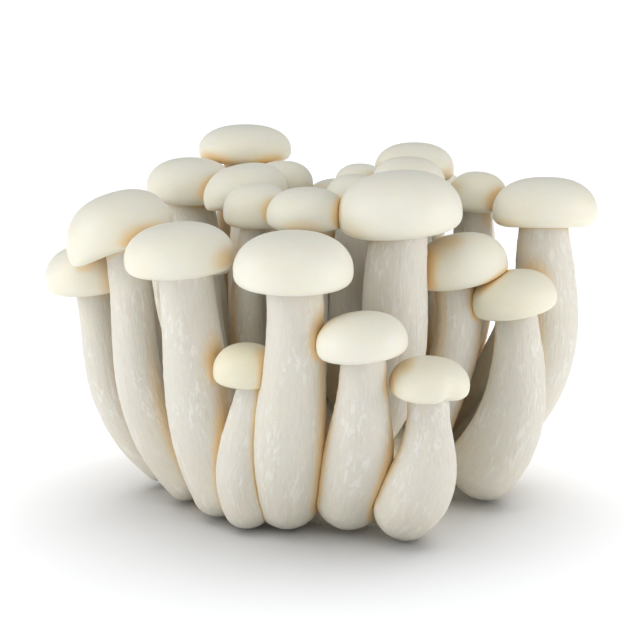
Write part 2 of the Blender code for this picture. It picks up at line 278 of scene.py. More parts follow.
def grown(thing, tree, values):
    """The plain mesh that a tree of geometry nodes makes of an object."""
    modifier = thing.modifiers.new("growth", "NODES")
    modifier.node_group = tree
    sockets = {
        item.name: item.identifier
        for item in tree.interface.items_tree
        if item.item_type == "SOCKET" and item.in_out == "INPUT"
    }
    for name, value in values.items():
        modifier[sockets[name]] = value
    depsgraph = bpy.context.evaluated_depsgraph_get()
    evaluated = thing.evaluated_get(depsgraph)
    mesh = bpy.data.meshes.new_from_object(evaluated, preserve_all_data_layers=True, depsgraph=depsgraph)
    thing.modifiers.clear()
    if not mesh.polygons:
        raise ValueError(f"{tree.name} grew nothing on {thing.name}")
    return mesh


def raised(recipe, geometry, height):
    """The geometry with each point moved out along its normal; the height is in millimetres."""
    normal = recipe.node("GeometryNodeInputNormal")
    offset = recipe.node("ShaderNodeVectorMath", {"operation": "SCALE"}, {0: normal, "Scale": height * MM})
    moved = recipe.node("GeometryNodeSetPosition", None, {"Geometry": geometry, "Offset": offset})
    return recipe.node("GeometryNodeRealizeInstances", None, {"Geometry": moved})


def on_layer(recipe, geometry, number, material):
    """The geometry with a material on the faces of one layer."""
    layer = recipe.attribute("layer")
    settings = {"data_type": "FLOAT", "operation": "EQUAL"}
    same = recipe.node("FunctionNodeCompare", settings, {0: layer, 1: float(number), "Epsilon": 0.1})
    inputs = {"Geometry": geometry, "Selection": same, "Material": material}
    return recipe.node("GeometryNodeSetMaterial", None, inputs)


def bump_angle(angle, middle, width):
    """1 at the middle angle, fading to nothing either side; both are in degrees."""
    away = (angle - math.radians(middle) + math.pi) % (2 * math.pi) - math.pi
    return np.exp(-((away / math.radians(width)) ** 2))


def foot_reach(angle, level):
    """The shared foot's half width at an angle and a share of its height."""
    waist = FOOT_WAIST_HEIGHT / FOOT_HEIGHT
    under = FOOT_CUT_SHARE + (1 - FOOT_CUT_SHARE) * np.clip(level / waist, 0, 1) ** 0.7
    risen = np.clip(level - waist, 0, None) / (1 - waist)
    over = np.sqrt(np.clip(1 - risen**FOOT_DOME_ROUNDNESS, 0, 1))
    lobes = 1 + FOOT_LOBE_DEPTH * np.sin(FOOT_LOBES * angle)
    for middle, width, outward in FOOT_SPREAD:
        lobes = lobes + outward * bump_angle(angle, middle, width)
    around = 1 / np.hypot(np.cos(angle) / FOOT_HALF_WIDTH, np.sin(angle) / FOOT_HALF_DEPTH)
    return around * lobes * np.minimum(under, over)


def foot_distance(points):
    """How far each point is outside the shared foot, and below zero how deep inside."""
    away = points - np.array([0, 0, FOOT_WAIST_HEIGHT])
    angle = np.arctan2(away[:, 1], away[:, 0])
    around = foot_reach(angle, np.full(len(points), FOOT_WAIST_HEIGHT / FOOT_HEIGHT))
    share = np.hypot(away[:, 0], away[:, 1]) / around
    risen = np.maximum(away[:, 2], 0) / (FOOT_HEIGHT - FOOT_WAIST_HEIGHT)
    dome = np.sqrt(share**2 + risen**FOOT_DOME_ROUNDNESS)
    return np.linalg.norm(away, axis=1) * (1 - 1 / np.maximum(dome, 1e-3))


def bands(counts):
    """Faces between successive rings, listed from the top down, whose counts may differ."""
    faces = []
    start = 0
    for upper, lower in zip(counts, counts[1:]):
        below = start + upper
        if upper == lower:
            ring = np.arange(upper)
            after = (ring + 1) % upper
            square = np.column_stack([start + ring, below + ring, below + after, start + after])
            faces.append([tuple(face) for face in square.tolist()])
        else:
            faces.append(zipped(start, upper, below, lower))
        start = below
    return faces


def zipped(start, upper, below, lower):
    """Triangles between two rings of different counts."""
    faces = []
    i = j = 0
    while i < upper or j < lower:
        a = start + i % upper
        b = below + j % lower
        if j >= lower or (i < upper and (i + 1) * lower <= (j + 0.5) * upper):
            faces.append((a, b, start + (i + 1) % upper))
            i += 1
        else:
            faces.append((a, b, below + (j + 1) % lower))
            j += 1
    return [face for face in faces if len(set(face)) == 3]


def body_mesh(name, points, faces, values, vectors, layer):
    """A mesh in metres with its stored values; the points are in millimetres."""
    mesh = bpy.data.meshes.new(name)
    mesh.from_pydata((points * MM).tolist(), [], faces)
    mesh.attributes.new("layer", "FLOAT", "FACE").data.foreach_set("value", np.asarray(layer, np.float32))
    for key, value in values.items():
        mesh.attributes.new(key, "FLOAT", "POINT").data.foreach_set("value", value.astype(np.float32))
    for key, value in vectors.items():
        flat = value.astype(np.float32).ravel()
        mesh.attributes.new(key, "FLOAT_VECTOR", "POINT").data.foreach_set("vector", flat)
    mesh.shade_smooth()
    return mesh


def knob_tree():
    """Knobs a few millimetres across and a fine grain, raised from the foot but not from its cut."""
    sizes = ("Knob size", "Knob height", "Grain height")
    recipe, given = geometry_tree("foot_knobs", sizes, ("Tissue", "Cut"))
    skin = recipe.attribute("skin", vector=True)
    inputs = {0: skin, "Scale": 1 / given["Knob size"]}
    size = recipe.node("ShaderNodeVectorMath", {"operation": "SCALE"}, inputs)
    settings = {"feature": "SMOOTH_F1"}
    knob = recipe.node("ShaderNodeTexVoronoi", settings, {"Vector": size, "Scale": 1.0, "Smoothness": 0.6})
    grain = recipe.noise(skin, detail=4.0)
    height = (0.55 - knob) * given["Knob height"] + (grain - 0.5) * given["Grain height"]
    risen = raised(recipe, given["Geometry"], height * recipe.attribute("fibrous"))
    cut = on_layer(recipe, on_layer(recipe, risen, 0, given["Tissue"]), 1, given["Cut"])
    return end_tree(recipe, cut)


def flesh(name, paint, roughness_range, glow):
    """A material of mushroom flesh. paint(recipe) gives its colour, its roughness and its bump's height."""
    material = bpy.data.materials.new(name)
    material.use_nodes = True
    recipe = Recipe(material.node_tree)
    shader = material.node_tree.nodes["Principled BSDF"]
    shader.inputs["Subsurface Weight"].default_value = glow
    shader.inputs["Subsurface Radius"].default_value = (1.0, 0.62, 0.34)
    shader.inputs["Subsurface Scale"].default_value = 2.2 * MM
    shader.inputs["IOR"].default_value = 1.4
    shader.inputs["Specular IOR Level"].default_value = 0.4
    colour, rough, relief, depth = paint(recipe)
    low, high = roughness_range
    recipe.feed(shader.inputs["Base Color"], colour)
    recipe.feed(shader.inputs["Roughness"], low + (high - low) * rough)
    bump = recipe.node("ShaderNodeBump", None, {"Height": relief, "Distance": depth * MM, "Strength": 1.0})
    recipe.feed(shader.inputs["Normal"], bump)
    return material


def crevice_shaded(recipe, colour, depth=0.9):
    """A colour with painted shade where other flesh crowds it: the crevices' shade and the warm light bounced
    between the flesh, painted in as a darker orange-tan.
    """
    crevice_shade = recipe.attribute("crevice_shade")
    return recipe.mix(crevice_shade.between(0.25, 1.0) * depth, colour, (0.88, 0.66, 0.36, 1))


def foot_paint(recipe):
    skin = recipe.attribute("skin", vector=True)
    patches = recipe.noise(recipe.stretch(skin, (0.35, 0.35, 0.35)), detail=4.0)
    grain = recipe.noise(recipe.stretch(skin, (2.4, 2.4, 2.4)), detail=4.0)
    pale = recipe.mix(patches.between(0.38, 0.62), (0.78, 0.70, 0.54, 1), (0.90, 0.86, 0.77, 1))
    colour = recipe.mix(grain.between(0.35, 0.75) * 0.35, pale, (0.95, 0.93, 0.88, 1))
    return crevice_shaded(recipe, colour, 0.6), grain, grain, 0.25


def cut_paint(recipe):
    skin = recipe.attribute("skin", vector=True)
    stems = recipe.stretch(skin, (0.15, 0.15, 0.15))
    settings = {"feature": "DISTANCE_TO_EDGE"}
    rings = recipe.node("ShaderNodeTexVoronoi", settings, {"Vector": stems, "Scale": 1.0})
    grain = recipe.noise(recipe.stretch(skin, (1.4, 1.4, 1.4)), detail=5.0, roughness=0.7)
    knife = recipe.noise(recipe.stretch(skin, (0.12, 2.0, 1.0)), detail=2.0)
    flesh_colour = recipe.mix(grain.between(0.3, 0.7), (0.74, 0.64, 0.46, 1), (0.88, 0.82, 0.69, 1))
    colour = recipe.mix(rings.between(0.0, 0.09), (0.66, 0.52, 0.33, 1), flesh_colour)
    return colour, grain, grain * 0.6 + knife * 0.4, 0.2


def foot_rings():
    """The foot's places from the top down, over its side and in across the cut, and which lie on the cut."""
    angles = np.arange(FOOT_SIDES) * 2 * math.pi / FOOT_SIDES
    rings = [np.array([[0.0, 0.0, FOOT_HEIGHT]])]
    for turn in np.linspace(0.06, math.pi / 2, FOOT_RINGS):
        level = np.full(FOOT_SIDES, math.cos(turn) ** 1.4)
        reach = foot_reach(angles, level)
        rings.append(np.column_stack([reach * np.cos(angles), reach * np.sin(angles), level * FOOT_HEIGHT]))
    edge = rings[-1]
    for share in np.linspace(1, 0, CUT_RINGS + 1)[1:-1]:
        rings.append(edge * (share, share, 1))
    rings.append(np.zeros((1, 3)))
    return rings


def make_foot():
    rings = foot_rings()
    counts = [len(ring) for ring in rings]
    by_band = bands(counts)
    layer = [int(number > FOOT_RINGS - 1) for number, band in enumerate(by_band) for _ in band]
    points = np.vstack(rings)
    side = np.repeat([number < FOOT_RINGS for number in range(len(rings))], counts).astype(float)
    # The foot's side carries an even share of painted crevice shade; its cut carries none.
    mesh = body_mesh(
        "grown_foot", points, [face for band in by_band for face in band],
        {"fibrous": side, "crevice_shade": side * 0.45}, {"skin": points}, layer,
    )
    foot = link(bpy.data.objects.new("grown_foot", mesh))
    values = {
        "Knob size": KNOB_SIZE, "Knob height": KNOB_HEIGHT, "Grain height": 0.35,
        "Tissue": flesh("foot_tissue", foot_paint, (0.7, 0.9), 0.15),
        "Cut": flesh("cut_tissue", cut_paint, (0.75, 0.95), 0.1),
    }
    foot.data = grown(foot, knob_tree(), values)
    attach(foot, "root")
    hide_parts("shared_foot")


make_foot()

# The mushrooms: a smooth satin cap with a rolled margin, crowded gills under it and a fibrous stem,
# all grown as one piece from the shared foot. Where two meet, their flesh is pressed flat between them.
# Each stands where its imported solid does, drawn finely, with fibrils raised along its stem.
GAP = 0.12
FOOT_SINK = 0.4
FLOOR_CLEARANCE = 0.5
PRESS_STEPS = 12
DEEPEST_PRESS = 0.15
AXIS_SAMPLES = 25
CAP_SIDES = 72
DOME_RINGS = 20
MARGIN_RINGS = 9
ROUNDING_RINGS = 7
WIDEST_LEVEL = 0.34
DOME_ROUNDNESS = 2.5
MARGIN_BULGE = 6.0
MARGIN_ROLL = 3.0
MARGIN_TUCK = 0.35
GILL_OUTER = 0.71
GILL_RISE = 0.20
GILL_DEPTH = 1.6
GILL_PITCH = 0.62
GILL_THICKNESS = 0.24
GILL_BELLY = 0.3
TURN_START = 0.6
FOOT_FLATTENING = 0.9
STEM_MESH = (0.40, 0.55)
FRONT_STEM_MESH = (0.30, 0.42)
FIBRIL_HEIGHT = 0.13
FLAKE_HEIGHT = 0.10
CAP_LAYER, GILL_LAYER, STEM_LAYER = 0, 1, 2


def unit(vector):
    return vector / np.linalg.norm(vector)


def smooth(share):
    share = np.clip(share, 0, 1)
    return share * share * (3 - 2 * share)


def through_four(values, t):
    """The cubic through four values that stand at 0, 1/3, 2/3 and 1."""
    a, b, c, d = values
    return (
        -4.5 * a * (t - 1 / 3) * (t - 2 / 3) * (t - 1)
        + 13.5 * b * t * (t - 2 / 3) * (t - 1)
        - 13.5 * c * t * (t - 1 / 3) * (t - 1)
        + 4.5 * d * t * (t - 1 / 3) * (t - 2 / 3)
    )


def ring(centre, across, depth, radius, angles):
    return centre + np.outer(radius * np.cos(angles), across) + np.outer(radius * np.sin(angles), depth)


class Mushroom:
    """One mushroom. x, y and d are the stem's places and diameters at four even heights.

    z gives the heights of the lowest and the highest of them. cap is the cap's diameter and height,
    lean its tilt in degrees to the right and to the back, shift its middle's offset from the stem,
    dents its departures from round: angle, width, outward share and drop of the margin,
    and cream how far its colour is from white to yellow.
    """

    def __init__(self, x, y, z, d, cap, lean=(0, 0), shift=(0, 0), dents=(), cream=0.3):
        self.x = np.array(x, float)
        self.y = np.array(y, float)
        self.z = np.array(z, float)
        self.d = np.array(d, float)
        self.cap_radius = cap[0] / 2
        self.cap_height = cap[1]
        self.dents = dents
        self.cream = cream
        right, back = (math.tan(math.radians(angle)) for angle in lean)
        self.axis = unit(np.array([right, back, 1.0]))
        self.across = unit(np.array([1.0, 0.0, 0.0]) - self.axis * self.axis[0])
        self.depth = np.cross(self.axis, self.across)
        self.neck = np.array([self.x[3], self.y[3], self.z[1]])
        self.cap_base = self.neck + shift[0] * self.across + shift[1] * self.depth
        shares = np.linspace(0, 1, AXIS_SAMPLES)
        self.samples = np.array([self.centre(t) for t in shares])
        self.sample_radii = np.array([self.radius(t) for t in shares])
        self.length = np.linalg.norm(np.diff(self.samples, axis=0), axis=1).sum()
        wide = self.sample_radii[:, None]
        crown = self.cap_base + self.axis * self.cap_height
        self.low = np.minimum((self.samples - wide).min(0), self.cap_base - self.cap_radius * 1.1)
        self.high = np.maximum((self.samples + wide).max(0), crown + self.cap_radius * 1.1)

    def centre(self, t):
        """The stem's middle at the share t of its height."""
        height = self.z[0] + (self.z[1] - self.z[0]) * t
        return np.array([through_four(self.x, t), through_four(self.y, t), height])

    def radius(self, t):
        return through_four(self.d, t) / 2

    def stem_frame(self, t):
        """The directions across a ring of the stem, which turns to the cap's tilt near the top."""
        along = unit(self.centre(t + 0.02) - self.centre(t - 0.02))
        share = smooth((t - TURN_START) / (1 - TURN_START))
        axis = unit(along * (1 - share) + self.axis * share)
        across = unit(np.array([1.0, 0.0, 0.0]) - axis * axis[0])
        return across, np.cross(axis, across), axis

    def swell(self, angle):
        """The share by which the cap's radius grows towards each angle."""
        total = np.zeros_like(angle)
        for middle, width, outward, hang in self.dents:
            total = total + outward * bump_angle(angle, middle, width)
        return total

    def drop(self, angle):
        """How far the margin hangs below its level at each angle."""
        total = np.zeros_like(angle)
        for middle, width, outward, hang in self.dents:
            total = total + hang * bump_angle(angle, middle, width)
        return total

    def cap_point(self, share, height, angle):
        """A place on the cap from its share of the radius, its height over the rim and its angle."""
        reach = share * self.cap_radius * (1 + self.swell(angle))
        level = height - self.drop(angle) * share**3
        return (
            self.cap_base
            + np.outer(reach * np.cos(angle), self.across)
            + np.outer(reach * np.sin(angle), self.depth)
            + np.outer(level, self.axis)
        )

    def collar(self, reach, level, angle):
        """Places round the neck, in the cap's tilt."""
        return (
            self.neck
            + np.outer(reach * np.cos(angle), self.across)
            + np.outer(reach * np.sin(angle), self.depth)
            + np.outer(level, self.axis)
        )

    def cap_section(self, share, level):
        """1 on the cap's outer surface, less inside and more outside."""
        widest = self.cap_height * WIDEST_LEVEL
        above = np.maximum(level - widest, 0) / (self.cap_height - widest)
        below = np.maximum(widest - level, 0) / widest
        dome = (share**DOME_ROUNDNESS + above**2) ** (1 / DOME_ROUNDNESS)
        margin = (share**MARGIN_BULGE + below**MARGIN_ROLL) ** (1 / MARGIN_ROLL)
        return np.where(level > widest, dome, margin)

    def stem_distance(self, points):
        """How far each point is outside the stem, and below zero how deep inside."""
        apart = (points**2).sum(1)[:, None] + (self.samples**2).sum(1)[None] - 2 * points @ self.samples.T
        return (np.sqrt(np.maximum(apart, 0)) - self.sample_radii[None]).min(axis=1)

    def cap_distance(self, points):
        away = points - self.cap_base
        across, back, level = (away @ way for way in (self.across, self.depth, self.axis))
        angle = np.arctan2(back, across)
        share = np.hypot(across, back) / (self.cap_radius * (1 + self.swell(angle)))
        section = self.cap_section(share, level + self.drop(angle) * share**3)
        middle = self.cap_height * WIDEST_LEVEL
        along = np.sqrt(across**2 + back**2 + (level - middle) ** 2)
        return along * (1 - 1 / np.maximum(section, 1e-3))

    def distance(self, points):
        return np.minimum(self.stem_distance(points), self.cap_distance(points))

    def near(self, points, reach):
        """Which of the points could be within reach of this mushroom."""
        return np.all((points > self.low - reach) & (points < self.high + reach), axis=1)


# The stems' places and diameters from foot to neck and the caps' sizes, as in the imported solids.
# The names' order runs from the front row at the left, round the flanks, to the back.
MUSHROOMS = {
    "01": Mushroom(
        (-32.6, -41.3, -44.3, -45.9), (1.5, 3, 4, 4.5), (5, 40.5), (8.2, 9.2, 8.8, 8), (19.4, 9.8), (-6, 0)
    ),
    "02": Mushroom(
        (-26.5, -34.8, -36.9, -38.2), (-10, -9, -8.5, -7.5), (5, 51.5), (9.4, 9.6, 8.4, 8.2),
        (20.9, 10.9), (-17, 0), dents=((195, 40, 0.08, 2.0), (265, 30, 0.03, -0.8))
    ),
    "03": Mushroom(
        (-19.3, -22.8, -24.4, -25.4), (-20.3, -18.5, -19.3, -22.3), (5.8, 49), (11.3, 13.4, 11.6, 10.3),
        (20.9, 9.6), (-4, 0), (-0.8, 0)
    ),
    "04": Mushroom(
        (-13.6, -14.6, -13.6, -12.4), (-27, -26.5, -26.2, -26.3), (4.8, 28.4), (9.6, 10.2, 8.4, 6.6),
        (12.8, 7.8), (2, 0), (-1.4, 0), cream=1.0
    ),
    "05": Mushroom(
        (-6.2, -5.6, -4.7, -4.7), (-27.3, -30, -31.8, -32), (6.2, 47.9), (12.4, 13.4, 11.2, 10.5),
        (22.0, 10.6), (0, 0), (-0.2, 0), cream=0.15
    ),
    "06": Mushroom(
        (5.2, 7.2, 7.7, 7.9), (-29, -31.5, -34.5, -36), (6.6, 36), (12.2, 13.0, 10.0, 8.4),
        (16.8, 8.2), (-6, 0), cream=0.15
    ),
    "07": Mushroom(
        (15.8, 19.2, 20, 20), (-33.4, -35, -35, -34.5), (6.2, 28.3), (12.2, 12.4, 9.0, 7.8),
        (14.9, 7.2), (3, 0), dents=((-57, 13, -0.10, -0.8), (-120, 40, 0.02, 0.7)), cream=0.5
    ),
    "08": Mushroom(
        (32.6, 37.7, 38.9, 38.3), (-9.5, -11.5, -12, -11.5), (7.4, 39), (14.2, 13.0, 10.4, 8.2),
        (16.7, 8.5), (-10, 0), cream=0.6
    ),
    "09": Mushroom(
        (22, 24.9, 27.2, 26.6), (-5, -7, -8.5, -8.5), (13, 44.2), (8.6, 9.3, 9.3, 8.5),
        (18.5, 9.7), (-11, 0), (1.7, 0)
    ),
    "10": Mushroom(
        (31, 43, 45.6, 44.8), (3.5, 1.5, 0.5, 0.5), (6.5, 54), (11, 13.9, 12.9, 9.9),
        (21, 10.2), (0, 8), (0.2, 0)
    ),
    "11": Mushroom(
        (10.5, 13.9, 14.5, 15.1), (-14, -15.5, -15.5, -15.5), (17, 55.4), (9.4, 12.2, 12.4, 11.1),
        (23.8, 12), (-4.6, 0), (0.4, 0), cream=0.15
    ),
    "12": Mushroom(
        (-3, -3, -2.6, -2.5), (-9.5, -12, -13, -12.5), (20.5, 55.9), (8, 8.8, 8.2, 7.2), (15.6, 8.0)
    ),
    "13": Mushroom(
        (-12, -14.4, -14.6, -13.2), (-4, -4.5, -3.5, -2.5), (18.5, 54.9), (6.4, 6.6, 5.8, 5),
        (13.6, 8.5), (0, 0), (0.8, 0)
    ),
    "14": Mushroom(
        (-12, -14, -14.5, -14.5), (6, 8, 11, 13.5), (18, 57.3), (7.6, 9, 8.6, 7.4),
        (17.4, 8.0), (-9, 0), (-0.4, 0), dents=((195, 35, 0.04, 1.0),)
    ),
    "15": Mushroom(
        (5, 6, 6.3, 6.8), (-1.5, -1.5, 0.5, 2.5), (20.5, 57.5), (7.2, 8.6, 8, 6), (11.5, 7.0)
    ),
    "16": Mushroom(
        (13.5, 15.5, 17, 17.7), (1, 1.5, 2.5, 3.5), (19.5, 60.5), (7.6, 8.6, 8, 6.8), (14.6, 7.4), (2, 0)
    ),
    "17": Mushroom(
        (5.5, 7, 8, 8.3), (9, 11, 12.5, 13.5), (19, 59.3), (6.8, 7.6, 6.8, 5.4), (10.5, 6.0)
    ),
    "18": Mushroom(
        (23, 29, 32, 32.2), (5.5, 8, 10, 10.5), (13, 56.1), (6.8, 8, 7.2, 5.9), (12.4, 7.9), (3, 0), cream=0.6
    ),
    "19": Mushroom(
        (-18.5, -23.5, -26, -27.6), (12.5, 16.5, 21, 24.5), (12, 55.8), (7.6, 10, 11, 10), (18.9, 9.4)
    ),
    "20": Mushroom(
        (-10.5, -16, -18, -16.4), (21.5, 25, 31, 36.5), (6.8, 63), (8.6, 9.8, 9.8, 9), (20.2, 8.0)
    ),
    "21": Mushroom(
        (-4.5, -6, -7.5, -8), (14.5, 18, 22, 25.5), (15.5, 57.4), (6.8, 7.2, 7, 6.2), (13, 7.0)
    ),
    "22": Mushroom(
        (13.5, 17, 19, 19.8), (12, 15, 17.5, 20), (15, 60.9), (7.6, 8.6, 8.4, 7.8), (16.7, 8.0)
    ),
    "23": Mushroom(
        (3.5, 4.5, 4.8, 4.6), (24, 26.5, 30.5, 34), (6, 52.2), (8.4, 9.4, 8.8, 7.6), (16, 7.4), (0, 6)
    ),
    "24": Mushroom(
        (-26.5, -35, -39, -40.5), (10, 14, 17, 18.5), (5.6, 44), (8.2, 9.8, 9.6, 8.6), (17, 8.6), (-8, 6)
    ),
    "25": Mushroom(
        (-19, -27, -31, -33), (21, 27.5, 31, 33), (5.6, 42), (8.6, 10.4, 10, 8.8), (17.5, 8.6), (-8, 8)
    ),
    "26": Mushroom(
        (-4, -4.5, -5, -5), (28.5, 35.5, 40.5, 43.5), (5.8, 38.5), (9.2, 10.4, 9.4, 8), (15, 7.8), (-2, 12),
        cream=0.7
    ),
    "27": Mushroom(
        (8.5, 10.8, 12.5, 13.5), (29, 36, 41, 44), (5.8, 43), (9.2, 11, 10, 8.6), (16, 8.4), (3, 10)
    ),
    "28": Mushroom(
        (15.5, 19.8, 22, 23), (22, 28, 32.5, 35.5), (6, 53), (8.6, 10.6, 10.2, 9), (17.5, 8.8), (3, 5)
    ),
    "29": Mushroom(
        (22, 29, 32.5, 32.8), (16, 21.5, 24, 24.5), (5.6, 52.6), (8.8, 10.4, 9.8, 8.4), (14.8, 8.0), (4, 4)
    ),
    "30": Mushroom(
        (28, 35, 39.5, 43), (11, 14.5, 16.5, 17), (5.8, 33.5), (8.6, 10.2, 9.6, 8.2), (15, 8), (8, 6),
        cream=0.7,
    ),
    "31": Mushroom(
        (-18, -23, -26, -27), (1, 3, 4, 4.5), (15.5, 45.5), (7.4, 9, 8.6, 7.4), (13, 7), (-4, 2)
    ),
    "32": Mushroom(
        (-17, -20.5, -22.3, -22.6), (-7.5, -8.5, -8, -7.5), (15, 46.2), (6, 6.8, 6.4, 5.6), (10.6, 6.4)
    ),
    "33": Mushroom(
        (-4, -3, -2.2, -2), (4, 6, 8.5, 9.5), (18.8, 50), (7, 8, 7.4, 6.2), (12.2, 7), (-3, 0)
    ),
    "34": Mushroom(
        (1.5, 2.2, 2.8, 3), (14, 18, 21, 22.5), (15.5, 50.5), (6.6, 7.4, 6.8, 5.8), (11, 6.4), (0, 3)
    ),
}
FRONT_ROW = ("01", "02", "03", "04", "05", "06", "07", "08", "10", "11")


class Skin:
    """The rings of one mushroom's skin, from the crown to the foot, with what is stored at each point."""

    def __init__(self, seed):
        self.seed = seed
        self.points = []
        self.inner = []
        self.coordinates = []
        self.layers = []
        self.fibrous = []
        self.height = []

    def add(self, points, towards, layer, coordinates, fibrous=0.0, height=1.0):
        self.points.append(points)
        self.inner.append(np.broadcast_to(towards, points.shape))
        self.coordinates.append(coordinates + np.array([0.0, 0.0, 60.0 * self.seed]))
        self.layers.append(layer)
        self.fibrous.append(np.full(len(points), fibrous))
        self.height.append(np.full(len(points), height))

    def counts(self):
        return [len(points) for points in self.points]


def wave(seed, angle, along):
    """A slow unevenness round a stem or a cap, between about -1 and 1."""
    draw = np.random.default_rng(seed)
    total = 0.0
    for turns, weight in ((1, 0.35), (2, 0.45), (3, 0.35), (5, 0.2)):
        start, pace = draw.uniform(0, 2 * math.pi), draw.uniform(-5, 5)
        total = total + weight * np.sin(turns * angle + start + pace * along)
    return total


def cap_rings(own, skin):
    """The cap's smooth skin from the crown over the widest level to the rolled margin."""
    angles = np.arange(CAP_SIDES) * 2 * math.pi / CAP_SIDES
    widest = own.cap_height * WIDEST_LEVEL
    dome = own.cap_height - widest
    heart = own.cap_base + own.axis * widest
    uneven = wave(1000 + skin.seed, angles, 0.0)

    def add(share, level, angle, unevenness):
        reach = share * (1 + 0.010 * unevenness * share**2)
        points = own.cap_point(reach, np.full(len(angle), level), angle)
        flat = own.cap_radius * share
        at_level = np.full(len(angle), level)
        coordinates = np.column_stack([flat * np.cos(angle), flat * np.sin(angle), at_level])
        skin.add(points, heart, CAP_LAYER, coordinates, height=share)

    add(0.0, own.cap_height, np.zeros(1), np.zeros(1))
    for turn in np.linspace(0, math.pi / 2, DOME_RINGS + 1)[1:]:
        add(math.sin(turn) ** (2 / DOME_ROUNDNESS), widest + dome * math.cos(turn), angles, uneven)
    last = math.acos(GILL_OUTER ** (MARGIN_BULGE / 2))
    for turn in np.linspace(0, last, MARGIN_RINGS + 1)[1:]:
        level = widest * (1 - math.sin(turn) ** (2 / MARGIN_ROLL))
        add(math.cos(turn) ** (2 / MARGIN_BULGE), level, angles, uneven)


def under_rings(own, skin):
    """The flesh that the gills hang from, from inside the margin to the neck."""
    angles = np.arange(CAP_SIDES) * 2 * math.pi / CAP_SIDES
    heart = own.cap_base + own.axis * own.cap_height * WIDEST_LEVEL
    rise = own.cap_height * GILL_RISE
    outer = (
        (0.685, MARGIN_TUCK + 0.25),
        (0.665, MARGIN_TUCK + 0.6 * GILL_DEPTH),
        (0.64, MARGIN_TUCK + GILL_DEPTH),
    )
    for share, level in outer:
        points = own.cap_point(share, np.full(CAP_SIDES, level), angles)
        skin.add(points, heart, GILL_LAYER, points - own.cap_base, height=share)
    for flare, lift in ((1.3, GILL_DEPTH), (0.45, GILL_DEPTH - 0.4)):
        points = own.collar(own.radius(1.0) + flare, np.full(CAP_SIDES, rise + lift), angles)
        skin.add(points, heart, GILL_LAYER, points - own.cap_base, height=0.4)


def stem_rings(own, skin, mesh_size):
    """The stem's skin from the neck down, and the rounded foot under it."""
    around, along = mesh_size
    sides = int(round(2 * math.pi * own.sample_radii.max() / around / 2)) * 2
    angles = np.arange(sides) * 2 * math.pi / sides
    rise = own.cap_height * GILL_RISE
    top = own.collar(own.radius(1.0), np.full(sides, rise + 0.4), angles)

    def coordinates(radius, along_stem):
        return np.column_stack([radius * np.cos(angles), radius * np.sin(angles), np.full(sides, along_stem)])

    skin.add(top, own.neck, STEM_LAYER, coordinates(own.radius(1.0), own.length + rise), 0.0, 1.0)
    for t in np.linspace(1, 0, int(own.length / along)):
        across, depth, axis = own.stem_frame(t)
        uneven = 1 + 0.022 * smooth((1 - t) * 8) * wave(skin.seed, angles, t)
        points = ring(own.centre(t), across, depth, own.radius(t) * uneven, angles)
        on_skin = coordinates(own.radius(t), t * own.length)
        skin.add(points, own.centre(t), STEM_LAYER, on_skin, smooth((1 - t) * 12), t)
    radius = own.radius(0)
    centre = own.centre(0)
    for turn in np.linspace(0, math.pi / 2, ROUNDING_RINGS + 2)[1:-1]:
        low = centre - axis * radius * math.sin(turn) * FOOT_FLATTENING
        reach = radius * math.cos(turn)
        points = ring(low, across, depth, reach * uneven, angles)
        on_skin = coordinates(reach, -radius * math.sin(turn))
        skin.add(points, centre, STEM_LAYER, on_skin, math.cos(turn), 0.0)
    bottom = (centre - axis * radius * FOOT_FLATTENING)[None]
    skin.add(bottom, centre, STEM_LAYER, np.array([[0.0, 0.0, -radius]]), 0.0, 0.0)


def gill_tree():
    """A ring of thin blades, long and short by turns, unrolled: across, along and down each blade."""
    sizes = ("Gills", "Thickness", "Depth", "Belly", "Short start", "Unevenness", "Seed")
    recipe, given = geometry_tree("gill_ring", sizes, ("Flesh",))
    count = given["Gills"] * 2
    line = recipe.node("GeometryNodeMeshLine", {"mode": "OFFSET"}, {"Count": count, "Offset": (0, 0, 0)})
    sizes = {"Size": (1, 1, 1), "Vertices X": 6, "Vertices Y": 2, "Vertices Z": 2}
    blade = recipe.node("GeometryNodeMeshCube", None, sizes)
    placed = recipe.node("GeometryNodeInstanceOnPoints", None, {"Points": line, "Instance": blade})
    number = recipe.node("GeometryNodeInputIndex")
    settings = {"data_type": "FLOAT", "domain": "INSTANCE"}
    inputs = {"Geometry": placed, "Name": "gill", "Value": number}
    counted = recipe.node("GeometryNodeStoreNamedAttribute", settings, inputs)
    whole = recipe.node("GeometryNodeRealizeInstances", None, {"Geometry": counted})

    gill = recipe.attribute("gill")
    place = recipe.node("GeometryNodeInputPosition")
    x, y, z = (recipe.node("ShaderNodeSeparateXYZ", None, {0: place}, output=way) for way in range(3))
    settings = {"data_type": "FLOAT"}
    chance = recipe.node("FunctionNodeRandomValue", settings, {"ID": gill, "Seed": given["Seed"]}, output=1)
    short = recipe.maths("MODULO", gill, 2.0)
    start = short * (given["Short start"] + chance * 0.2)
    along = start + (1 - start) * (x + 0.5)
    lift = short * (1 - (x + 0.5).between(0.0, 0.45))
    low = given["Depth"] * lift - given["Belly"] * 4 * along * (1 - along) * (1 - lift)
    hang = low + (given["Depth"] + 0.35 - low) * (z + 0.5)
    side = y * given["Thickness"]
    where = recipe.node("ShaderNodeCombineXYZ", None, {"X": side, "Y": along, "Z": hang})
    shaped = recipe.node("GeometryNodeSetPosition", None, {"Geometry": whole, "Position": where})
    turn = (gill + given["Unevenness"] * (chance - 0.5)) * (2 * math.pi) / count
    settings = {"data_type": "FLOAT", "domain": "POINT"}
    inputs = {"Geometry": shaped, "Name": "turn", "Value": turn}
    turned = recipe.node("GeometryNodeStoreNamedAttribute", settings, inputs)
    inputs = {"Geometry": turned, "Material": given["Flesh"]}
    return end_tree(recipe, recipe.node("GeometryNodeSetMaterial", None, inputs))


